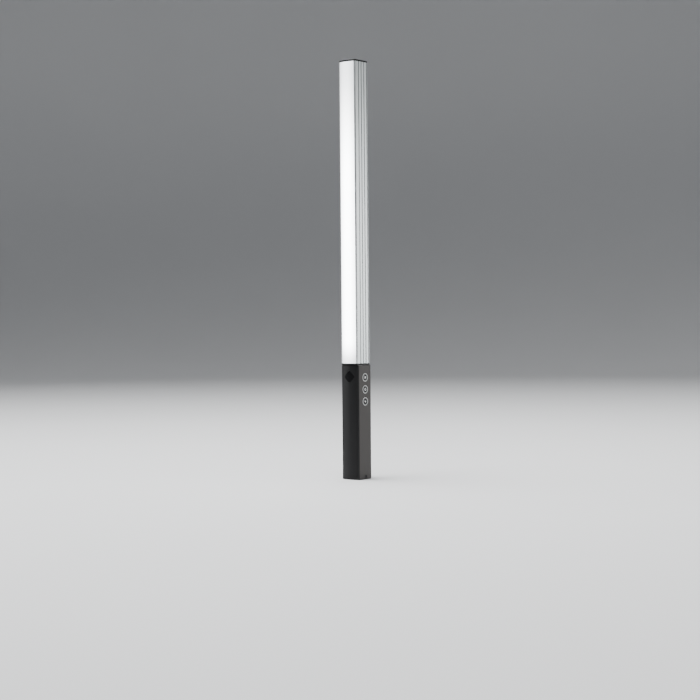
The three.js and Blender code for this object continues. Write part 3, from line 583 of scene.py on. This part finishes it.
WINDOW_HALF_DIAGONAL = 8
WINDOW_CORNER = 2
SHOULDER_DEPTH = 1.9
FLANGE_THICKNESS = 0.8
HANDLE_BULGE = 2.2
BEND_STRIPS = 24


def polished_black(name, smoothest, roughest, shade, reflection):
    """Smooth black plastic with fine handling scratches in its gloss."""
    gloss = Finish(name, Specular_IOR_Level=reflection)
    scratches = gloss.noise((2400, 2400, 120), 3, 0.7)
    smears = gloss.noise((50, 50, 28), 4)
    gloss.colour(smears.mix(near_black(shade), near_black(shade + 6)))
    gloss.roughness((scratches * 0.4 + smears * 0.6).span(smoothest, roughest))
    gloss.relief(scratches, 0.002)
    return gloss.material


def green_solder_mask():
    """Green solder mask that stands up, paler, over the copper tracks."""
    board = Finish("green solder mask")
    weave = board.noise((900, 900, 900), 2)
    tracks = board.noise((260, 260, 260), 1).step(0.52, 0.55)
    board.colour(tracks.mix(rgb(18, 74, 44), rgb(38, 104, 62)))
    board.roughness(weave.span(0.3, 0.5))
    board.relief(tracks, 0.03)
    return board.material


cover_low, _ = reach("handle_front")
window_low, window_high = reach("sensor_window")
cover_radius = (handle_high.x ** 2 + HANDLE_BULGE ** 2) / (2 * HANDLE_BULGE)
cover_centre = (0, cover_low.y + cover_radius)


def pulled_on(bm, face, offset, grown=1):
    """Pulls a face on by an offset, and grows it about the middle of its piece."""
    made = bmesh.ops.extrude_face_region(bm, geom=[face])["geom"]
    moved = [v for v in made if isinstance(v, bmesh.types.BMVert)]
    bmesh.ops.translate(bm, verts=moved, vec=offset)
    bmesh.ops.scale(bm, verts=moved, vec=(grown, 1, grown))
    return next(f for f in made if isinstance(f, bmesh.types.BMFace))


def smoked_window():
    """A diamond with rounded corners and a wider flange behind, bent to the cover's bow."""
    bm = bmesh.new()
    bmesh.ops.create_circle(bm, cap_ends=True, segments=4, radius=WINDOW_HALF_DIAGONAL)
    bmesh.ops.bevel(bm, geom=bm.verts[:], offset=WINDOW_CORNER, segments=6, profile=0.5,
                    affect="VERTICES", material=-1)
    bmesh.ops.rotate(bm, cent=(0, 0, 0), matrix=Matrix.Rotation(pi / 2, 3, "X"), verts=bm.verts[:])
    half_width = max(v.co.x for v in bm.verts)
    recess = window_low.y - cover_low.y
    shoulder = pulled_on(bm, bm.faces[:][0], (0, SHOULDER_DEPTH - recess, 0))
    shoulder = pulled_on(bm, shoulder, (0, 0, 0), window_high.x / half_width)
    pulled_on(bm, shoulder, (0, FLANGE_THICKNESS, 0))
    bmesh.ops.recalc_face_normals(bm, faces=bm.faces[:])
    for cut in range(1, BEND_STRIPS):
        place = window_high.x * (2 * cut / BEND_STRIPS - 1)
        bmesh.ops.bisect_plane(bm, geom=bm.verts[:] + bm.edges[:] + bm.faces[:], dist=0.0001,
                               plane_co=(place, 0, 0), plane_no=(1, 0, 0))
    for vert in bm.verts:
        vert.co.y += recess + bow_y(vert.co.x, cover_radius, cover_centre)
    bmesh.ops.translate(bm, verts=bm.verts[:], vec=(0, 0, (window_low.z + window_high.z) / 2))
    return bm


cover_black = polished_black("smooth black plastic", 0.24, 0.42, 13, reflection=0.2)
window_black = polished_black("smoked window", 0.05, 0.12, 14, reflection=0.1)
refined("front_cover", "handle_front", cover_black, edge=0.12)
settle(smoked_window(), "dark_window", window_black, ["sensor_window"], smooth=32, edge=0.1)
refined("receiver", "receiver_board", green_solder_mask(), edge=0.05)

# ---- Push buttons -----------------------------------------------------------------------------
# Three moulded keys with dished tops stand in light rings pressed into the handle's side. Each has
# a flange behind the wall, and a white pad-printed mark: brighter, power and dimmer.

KEY_RADIUS = 3.95
KEY_FLANGE = 0.6
KEY_ROUND = 0.4
BROKEN_EDGE = 0.15
DISH_RADIUS = 3.3
DISH_DEPTH = 0.18
RING_BORE = 4.15
RING_RADIUS = 5.0
RING_ROUND = 0.2
PRINT_DEPTH = 0.2
SIGN_RADIUS = 1.35
SIGN_STROKE = 0.44
SIGN_GAP = 35
SIGN_BAR = 1.5
SIGN_BAR_PLACE = 1.15
SUN_RADIUS = 0.85
SUN_RAYS = 8
RAY_WIDTH = 0.36
RAY_LENGTH = 0.62
RAY_PLACE = 1.6
SMALL_SUN = 0.72
key_low, key_high = reach("button_up")
ring_low, ring_high = reach("button_ring_up")
side_middle = (key_low.y + key_high.y) / 2


def laid_to_side(bm, height):
    """Turns a piece made along +Z to point along +X, at a button's height up the side."""
    bmesh.ops.rotate(bm, cent=(0, 0, 0), matrix=Matrix.Rotation(pi / 2, 3, "Y"), verts=bm.verts[:])
    bmesh.ops.translate(bm, verts=bm.verts[:], vec=(0, side_middle, height))


def turned_piece(profile, steps):
    """Spins a profile of (radius, height) places about Z and closes it."""
    bm = bmesh.new()
    tip = bm.verts.new((profile[0][0], 0, profile[0][1]))
    for radius, height in profile[1:]:
        made = bmesh.ops.extrude_vert_indiv(bm, verts=[tip])
        tip = made["verts"][0]
        tip.co = (radius, 0, height)
    bmesh.ops.spin(bm, geom=bm.verts[:] + bm.edges[:], cent=(0, 0, 0), axis=(0, 0, 1), dvec=(0, 0, 0),
                   angle=2 * pi, steps=steps, use_merge=True, use_duplicate=False)
    bmesh.ops.remove_doubles(bm, verts=bm.verts[:], dist=0.002)
    bmesh.ops.recalc_face_normals(bm, faces=bm.faces[:])
    return bm


def rounded(corner, before, after, radius, steps=4):
    """Places round a quarter arc at a corner, from the side of before to the side of after."""
    corner, before, after = Vector(corner), Vector(before), Vector(after)
    first = (before - corner).normalized() * radius
    last = (after - corner).normalized() * radius
    centre = corner + first + last
    places = []
    for step in range(steps + 1):
        angle = pi / 2 * step / steps
        places.append(tuple(centre - last * cos(angle) - first * sin(angle)))
    return places


def key_body():
    """A key turned about Z: its flange, its straight side and its dished top."""
    flange = (key_high.z - key_low.z) / 2
    top = key_high.x
    back = key_low.x
    shoulder = back + KEY_FLANGE
    profile = [(0, back), (flange - BROKEN_EDGE, back), (flange, back + BROKEN_EDGE)]
    profile += [(flange, shoulder), (KEY_RADIUS, shoulder)]
    profile += rounded((KEY_RADIUS, top), (KEY_RADIUS, back), (0, top), KEY_ROUND, 6)
    sphere = (DISH_RADIUS ** 2 + DISH_DEPTH ** 2) / (2 * DISH_DEPTH)
    rings = 8
    for ring in range(rings + 1):
        radius = DISH_RADIUS * (1 - ring / rings)
        profile.append((radius, top - DISH_DEPTH + sphere - sqrt(sphere ** 2 - radius ** 2)))
    return turned_piece(profile, 64)


def trim_ring():
    low = ring_low.x
    high = ring_high.x
    outside = (RING_RADIUS, high)
    inside = (RING_BORE, high)
    profile = [(RING_BORE, low), (RING_RADIUS, low)]
    profile += rounded(outside, (RING_RADIUS, low), inside, RING_ROUND)
    profile += rounded(inside, outside, (RING_BORE, low), RING_ROUND)
    profile += [(RING_BORE, low)]
    return turned_piece(profile, 72)


def bar(bm, width, length, away, turn):
    """A rounded bar of a printed mark, its middle away from the centre in the direction turn."""
    made = bmesh.ops.create_cube(bm, size=1)
    bmesh.ops.scale(bm, verts=made["verts"], vec=(width, length, PRINT_DEPTH))
    edges = {edge for vert in made["verts"] for edge in vert.link_edges}
    corners = [e for e in edges if e.verts[0].co.z != e.verts[1].co.z]
    bmesh.ops.translate(bm, verts=made["verts"], vec=(0, away, 0))
    bmesh.ops.rotate(bm, cent=(0, 0, 0), matrix=Matrix.Rotation(turn, 3, "Z"), verts=made["verts"])
    bmesh.ops.bevel(bm, geom=corners, offset=width * 0.45, segments=3, profile=0.5,
                    affect="EDGES", material=-1)


def power_sign(bm):
    """A ring open at the top, with a bar in the opening."""
    start = radians(SIGN_GAP)
    for radius in (SIGN_RADIUS - SIGN_STROKE / 2, SIGN_RADIUS + SIGN_STROKE / 2):
        bm.verts.new((radius * sin(start), radius * cos(start), -PRINT_DEPTH / 2))
    edge = bmesh.ops.contextual_create(bm, geom=bm.verts[:])["edges"]
    made = bmesh.ops.extrude_edge_only(bm, edges=edge)
    raised = [v for v in made["geom"] if isinstance(v, bmesh.types.BMVert)]
    bmesh.ops.translate(bm, verts=raised, vec=(0, 0, PRINT_DEPTH))
    bmesh.ops.spin(bm, geom=bm.faces[:], cent=(0, 0, 0), axis=(0, 0, 1), dvec=(0, 0, 0),
                   angle=-2 * pi + 2 * start, steps=32, use_merge=False, use_duplicate=False)
    bmesh.ops.recalc_face_normals(bm, faces=bm.faces[:])
    bar(bm, SIGN_STROKE, SIGN_BAR, SIGN_BAR_PLACE, 0)


def sun(bm, size):
    """A disc with rays round it."""
    radius = SUN_RADIUS * size
    bmesh.ops.create_cone(bm, cap_ends=True, segments=32, radius1=radius, radius2=radius,
                          depth=PRINT_DEPTH)
    for ray in range(SUN_RAYS):
        turn = ray * 2 * pi / SUN_RAYS
        bar(bm, RAY_WIDTH * size, RAY_LENGTH * size, RAY_PLACE * size, turn)


def printed_mark(key):
    """The mark of a key, drawn flat and then stood on the height of the key's top."""
    bm = bmesh.new()
    if key == "power":
        power_sign(bm)
    else:
        sun(bm, 1 if key == "up" else SMALL_SUN)
    bmesh.ops.rotate(bm, cent=(0, 0, 0), matrix=Matrix.Rotation(pi / 2, 3, "Z"), verts=bm.verts[:])
    bmesh.ops.translate(bm, verts=bm.verts[:], vec=(0, 0, key_high.x - PRINT_DEPTH))
    return bm


def pale_trim():
    ring = Finish("pale ring", Metallic=0.5)
    grain = ring.noise((2600, 2600, 2600), 3)
    ring.colour(grain.mix(rgb(168, 170, 169), rgb(196, 198, 197)))
    ring.roughness(grain.span(0.28, 0.46))
    ring.relief(grain, 0.006)
    return ring.material


def white_ink():
    """White print that the lamp under the key lights a little."""
    ink = Finish("white print", Emission_Strength=0.35)
    grain = ink.noise((6000, 6000, 6000), 2)
    ink.colour(grain.mix(rgb(232, 234, 234), rgb(250, 250, 250)))
    ink.glow(grain.mix((0.9, 0.92, 0.95, 1), (1, 1, 1, 1)))
    ink.roughness(grain.span(0.45, 0.6))
    return ink.material


key_black = moulded_black("soft black key", 0.38, 0.55, 26)
ring_pale = pale_trim()
ink_white = white_ink()
for key in ("up", "power", "down"):
    low, high = reach(f"button_{key}")
    middle = (low.z + high.z) / 2
    button = key_body()
    laid_to_side(button, middle)
    settle(button, f"key_{key}", key_black, [f"button_{key}"], body=f"{key}_key", smooth=35)
    ring = trim_ring()
    laid_to_side(ring, middle)
    settle(ring, f"key_ring_{key}", ring_pale, [f"button_ring_{key}"], smooth=50)
    mark = printed_mark(key)
    laid_to_side(mark, middle)
    settle(mark, f"key_mark_{key}", ink_white, [], body=f"{key}_key", smooth=30)

# ---- Control board and charging socket --------------------------------------------------------
# A green board stands in the handle's guide ribs with the keys' three switches on one face. The
# drawn steel socket is soldered to its rear edge and looks out through the handle's back, with
# gold-plated contacts on both faces of its moulded tongue.

BOARD_INNER_FACE = 6.9
BOARD_OUTER_FACE = 8.3
TONGUE_HALF_THICKNESS = 0.4
TONGUE_HALF_WIDTH = 3.4
SOCKET_BASE = 0.85
CONTACTS_PER_FACE = 12
CONTACT_SIZE = (0.06, 3.6, 0.26)
CONTACT_PITCH = 0.5
CONTACT_ASIDE = 0.37
CONTACT_DEPTH = 3.4


def populated_board():
    """Green board with tracks, and the black parts that stand off both its faces."""
    board = Finish("populated board")
    across = board.axis("X")
    tracks = board.noise((240, 240, 240), 1).step(0.52, 0.55)
    outside = across.step((BOARD_OUTER_FACE - 0.05) * MM, BOARD_OUTER_FACE * MM)
    inside = 1 - across.step(BOARD_INNER_FACE * MM, (BOARD_INNER_FACE + 0.05) * MM)
    parts = outside + inside
    green = tracks.mix(rgb(16, 70, 42), rgb(36, 102, 60))
    board.colour(parts.mix(green, rgb(24, 24, 26)))
    board.roughness((tracks * 0.4 + parts * 0.3).span(0.3, 0.5))
    board.relief(tracks * (1 - parts), 0.03)
    return board.material


port_low, port_high = reach("charging_port")
port_middle = (port_low + port_high) / 2


def socket_shell():
    """Bright steel shell round a black moulded tongue, on a black moulded base."""
    shell = Finish("socket shell")
    grain = shell.noise((3000, 3000, 3000), 3)
    aside = (shell.axis("X") - port_middle.x * MM).size()
    along = (shell.axis("Z") - port_middle.z * MM).size()
    beyond_faces = aside.step(TONGUE_HALF_THICKNESS * MM, (TONGUE_HALF_THICKNESS + 0.05) * MM)
    beyond_ends = along.step(TONGUE_HALF_WIDTH * MM, (TONGUE_HALF_WIDTH + 0.05) * MM)
    base_top = port_low.y + SOCKET_BASE
    base = 1 - shell.axis("Y").step(base_top * MM, (base_top + 0.05) * MM)
    moulded = ((1 - beyond_faces) * (1 - beyond_ends)).larger(base)
    steel = grain.mix(rgb(168, 170, 172), rgb(206, 208, 206))
    shell.colour(moulded.mix(steel, rgb(24, 24, 25)))
    shell.metallic(1 - moulded)
    shell.roughness(grain.span(0.22, 0.42))
    shell.relief(grain, 0.008)
    return shell.material


def gold_plate():
    gold = Finish("gold plate", Metallic=1)
    grain = gold.noise((4000, 4000, 4000), 2)
    gold.colour(grain.mix(rgb(206, 164, 82), rgb(232, 194, 112)))
    gold.roughness(grain.span(0.18, 0.32))
    return gold.material


refined("main_board", "control_board", populated_board(), edge=0.06)
refined("charging_socket", "charging_port", socket_shell(), edge=0.05, smooth=40)
contacts = bmesh.new()
for face in (-1, 1):
    for index in range(CONTACTS_PER_FACE):
        made = bmesh.ops.create_cube(contacts, size=1)
        contact_x = port_middle.x + face * CONTACT_ASIDE
        contact_z = port_middle.z + (index - (CONTACTS_PER_FACE - 1) / 2) * CONTACT_PITCH
        contact_place = (contact_x, port_high.y - CONTACT_DEPTH, contact_z)
        bmesh.ops.scale(contacts, verts=made["verts"], vec=CONTACT_SIZE)
        bmesh.ops.translate(contacts, verts=made["verts"], vec=contact_place)
settle(contacts, "socket_contacts", gold_plate(), [])

# ---- Battery: one cell in its cradle ----------------------------------------------------------
# A lithium cell in plain blue shrink wrap, with nickel tabs spot-welded to its ends, lies in a
# moulded black trough held down by the plug below it.

CELL_ROUND = 0.6
CRIMP_FROM_TOP = 4.3
CRIMP_HEIGHT = 1.0
CRIMP_DEPTH = 0.35
CRIMP_SLOPE = 0.3
SHOULDER_ROUND = 0.5
RIM_DROP = 0.2
BUTTON_HEIGHT = 0.6
BUTTON_RIM = 6.4
BUTTON_FOOT = 4.4
BUTTON_TOP = 4.2


def shrink_wrap():
    """Blue shrink film, rippled where it has drawn in round the can."""
    wrap = Finish("blue shrink wrap", Coat_Weight=0.3)
    ripple = wrap.noise((120, 120, 900), 2)
    wrap.colour(ripple.mix(rgb(40, 108, 168), rgb(52, 124, 186)))
    wrap.roughness(ripple.span(0.26, 0.4))
    wrap.relief(ripple, 0.015)
    return wrap.material


def nickel_strip():
    nickel = Finish("nickel strip", Metallic=1)
    rolled = nickel.noise((3000, 200, 3000), 3)
    nickel.colour(rolled.mix(rgb(186, 182, 170), rgb(214, 210, 198)))
    nickel.roughness(rolled.span(0.2, 0.36))
    nickel.relief(rolled, 0.006)
    return nickel.material


def cell_can():
    """The cell turned about its own axis: rounded foot, crimped groove and raised button."""
    foot = cell_low.z
    tip = cell_high.z
    can_top = tip - BUTTON_HEIGHT
    radius = (cell_high.x - cell_low.x) / 2
    waist = radius - CRIMP_DEPTH
    crimp_foot = tip - CRIMP_FROM_TOP
    crimp_top = crimp_foot + CRIMP_HEIGHT
    rim_floor = can_top - RIM_DROP
    profile = [(0, foot), (radius - 1, foot)]
    profile += rounded((radius, foot), (0, foot), (radius, tip), CELL_ROUND)
    profile += [(radius, crimp_foot), (waist, crimp_foot + CRIMP_SLOPE)]
    profile += [(waist, crimp_top - CRIMP_SLOPE), (radius, crimp_top)]
    profile += rounded((radius, can_top), (radius, foot), (0, can_top), SHOULDER_ROUND)
    profile += [(BUTTON_RIM, can_top), (BUTTON_RIM, rim_floor), (BUTTON_FOOT, rim_floor)]
    profile += [(BUTTON_TOP, tip), (0, tip)]
    return turned_piece(profile, 72)


cell_low, cell_high = reach("battery_cell")
cell = cell_can()
bmesh.ops.translate(cell, verts=cell.verts[:], vec=(0, (cell_low.y + cell_high.y) / 2, 0))
settle(cell, "lithium_cell", shrink_wrap(), ["battery_cell"], smooth=50)
refined("cell_cradle", "battery_cradle", nylon_black, edge=0.12)
strip_nickel = nickel_strip()
for pole in ("positive", "negative"):
    refined(f"cell_tab_{pole}", f"battery_tab_{pole}", strip_nickel, edge=0.05)

# ---- Base: plug, tripod socket and side screws ------------------------------------------------
# A black moulded plug closes the handle, held by a screw through each side wall. A brass insert
# with a 1/4 inch thread is pressed into it, flush with the end of the handle.

SOCKET_DEPTH = 10
THREAD_PITCH = 1.27
THREAD_MAJOR = 3.18
THREAD_MINOR = 2.98
LEAD_IN = 0.4
LEAD_IN_WIDTH = 0.32
INSERT_BODY = 4.6
INSERT_FLANGE = 1.0


def turned_brass():
    brass = Finish("turned brass", Metallic=1)
    rings = brass.noise((300, 300, 2600), 3)
    brass.colour(rings.mix(rgb(178, 140, 72), rgb(208, 172, 102)))
    brass.roughness(rings.span(0.2, 0.38))
    brass.relief(rings, 0.008)
    return brass.material


def threaded_insert():
    """The insert turned about Z: a blind bore with the thread's turns, a flange and a body."""
    _, high = reach("tripod_insert")
    flange = high.x
    bore = [(THREAD_MAJOR + LEAD_IN_WIDTH, 0), (THREAD_MAJOR, LEAD_IN)]
    for turn in range(int((SOCKET_DEPTH - 2 * LEAD_IN) / THREAD_PITCH)):
        start = LEAD_IN + turn * THREAD_PITCH
        bore += [(THREAD_MINOR, start + THREAD_PITCH * share) for share in (0.45, 0.55)]
        bore += [(THREAD_MAJOR, start + THREAD_PITCH)]
    profile = [(0, SOCKET_DEPTH), (THREAD_MAJOR, SOCKET_DEPTH)] + bore[::-1]
    profile += [(flange - BROKEN_EDGE, 0), (flange, BROKEN_EDGE), (flange, INSERT_FLANGE)]
    profile += [(INSERT_BODY, INSERT_FLANGE), (INSERT_BODY, high.z), (0, high.z)]
    return turned_piece(profile, 64)


settle(threaded_insert(), "threaded_insert", turned_brass(), ["tripod_insert"], smooth=30)
refined("end_plug", "bottom_plug", nylon_black, edge=0.15)
for side in ("left", "right"):
    refined(f"plug_screw_{side}", f"base_screw_{side}", screw_black, SCREW_EDGE, smooth=40)

# ---- Internal leads ---------------------------------------------------------------------------
# Silicone-covered wires: red and black from the cell to the board, a pale pair up to the light
# board and a thin one to the receiver.


def insulation(name, first, second):
    rubber = Finish(name)
    grain = rubber.noise((1500, 1500, 1500), 2)
    rubber.colour(grain.mix(first, second))
    rubber.roughness(grain.span(0.45, 0.65))
    rubber.relief(grain, 0.01)
    return rubber.material


LEADS = {
    "battery_lead_red": insulation("red insulation", rgb(168, 28, 22), rgb(190, 40, 32)),
    "battery_lead_black": insulation("black insulation", rgb(24, 24, 24), rgb(36, 36, 36)),
    "led_lead": insulation("pale insulation", rgb(204, 204, 198), rgb(222, 222, 216)),
    "receiver_lead": insulation("grey insulation", rgb(140, 140, 136), rgb(160, 160, 156)),
}
for lead, cover in LEADS.items():
    wire = refined(f"wire_{lead}", lead, cover, edge=0, smooth=60)
    round_off = wire.modifiers.new("round", "SUBSURF")
    round_off.levels = 1
    round_off.render_levels = 1

# ---- Stage: floor, sweep, lights and camera ---------------------------------------------------
# A pale round studio sweep, so that every side has the same plain ground, under three soft boxes.
# The camera stands to the right of the light's front, two fifths of the way up it.


def studio_sweep():
    """A floor whose edge curves up into a wall all round, in metres."""
    floor_radius = 3.2
    curve = 1.2
    wall = 3.4
    bm = bmesh.new()
    tip = bm.verts.new((0, 0, 0))
    made = bmesh.ops.extrude_vert_indiv(bm, verts=[tip])
    tip = made["verts"][0]
    tip.co = (floor_radius, 0, 0)
    made = bmesh.ops.spin(bm, geom=[tip], cent=(floor_radius, 0, curve), axis=(0, -1, 0),
                          angle=pi / 2, steps=16, use_merge=False, use_duplicate=False)
    tip = next(v for v in made["geom_last"] if isinstance(v, bmesh.types.BMVert))
    made = bmesh.ops.extrude_vert_indiv(bm, verts=[tip])
    made["verts"][0].co = (floor_radius + curve, 0, wall)
    bmesh.ops.spin(bm, geom=bm.verts[:] + bm.edges[:], cent=(0, 0, 0), axis=(0, 0, 1),
                   angle=2 * pi, steps=96, use_merge=True, use_duplicate=False)
    bmesh.ops.remove_doubles(bm, verts=bm.verts[:], dist=0.0005)
    bmesh.ops.recalc_face_normals(bm, faces=bm.faces[:])
    mesh = bpy.data.meshes.new("studio_sweep")
    bm.to_mesh(mesh)
    bm.free()
    mesh.shade_smooth()
    paper = Finish("studio paper", Roughness=0.85)
    paper.colour(paper.noise((3, 3, 3), 2).mix(rgb(208, 209, 210), rgb(212, 213, 214)))
    mesh.materials.append(paper.material)
    ground = bpy.data.objects.new("studio_sweep", mesh)
    bpy.context.scene.collection.objects.link(ground)


def soft_box(name, place, width, height, power, spread=180):
    """A rectangular light of a power in watts, turned to face the object."""
    towards = Vector((0, 0, 0.2)) - Vector(place)
    light = bpy.data.lights.new(name, "AREA")
    light.spread = radians(spread)
    light.shape = "RECTANGLE"
    light.size = width
    light.size_y = height
    light.energy = power
    lamp = bpy.data.objects.new(name, light)
    lamp.location = place
    lamp.visible_camera = False
    lamp.rotation_mode = "QUATERNION"
    lamp.rotation_quaternion = towards.to_track_quat("-Z", "Y")
    bpy.context.scene.collection.objects.link(lamp)


def camera():
    """A long lens at azimuth 38 degrees that leans half a degree."""
    azimuth = radians(38)
    distance = 1.93
    height = 0.199
    pitch = radians(-1.239)
    aside = 0.0037
    lean = radians(0.474)
    right = Vector((cos(azimuth), sin(azimuth), 0))
    ahead = Vector((-sin(azimuth), cos(azimuth), 0)) - right * aside
    forward = (ahead.normalized() * cos(pitch) + Vector((0, 0, sin(pitch)))).normalized()
    level_right = forward.cross(Vector((0, 0, 1))).normalized()
    level_up = level_right.cross(forward)
    up = (level_up * cos(lean) + level_right * sin(lean)).normalized()
    side = forward.cross(up)
    turn = Matrix((side, up, -forward)).transposed()
    lens = bpy.data.cameras.new("studio camera")
    lens.sensor_width = 36
    lens.lens = 81.47
    lens.clip_start = 0.01
    viewer = bpy.data.objects.new("studio camera", lens)
    viewer.rotation_mode = "QUATERNION"
    viewer.rotation_quaternion = turn.to_quaternion()
    viewer.location = (distance * sin(azimuth), -distance * cos(azimuth), height)
    bpy.context.scene.collection.objects.link(viewer)
    bpy.context.scene.camera = viewer


studio_sweep()
soft_box("key soft box", (-2.2, -1.5, 0.9), width=1.3, height=1.6, power=22)
soft_box("side soft box", (1.65, 2.15, 0.36), width=1.1, height=0.7, power=14)
soft_box("overhead soft box", (-0.4, -0.3, 3.1), width=1.8, height=1.8, power=110, spread=110)
room = bpy.data.worlds.new("studio room")
room.use_nodes = True
air = room.node_tree.nodes["Background"]
air.inputs["Color"].default_value = (0.9, 0.93, 1.0, 1)
air.inputs["Strength"].default_value = 0.15
bpy.context.scene.world = room
camera()
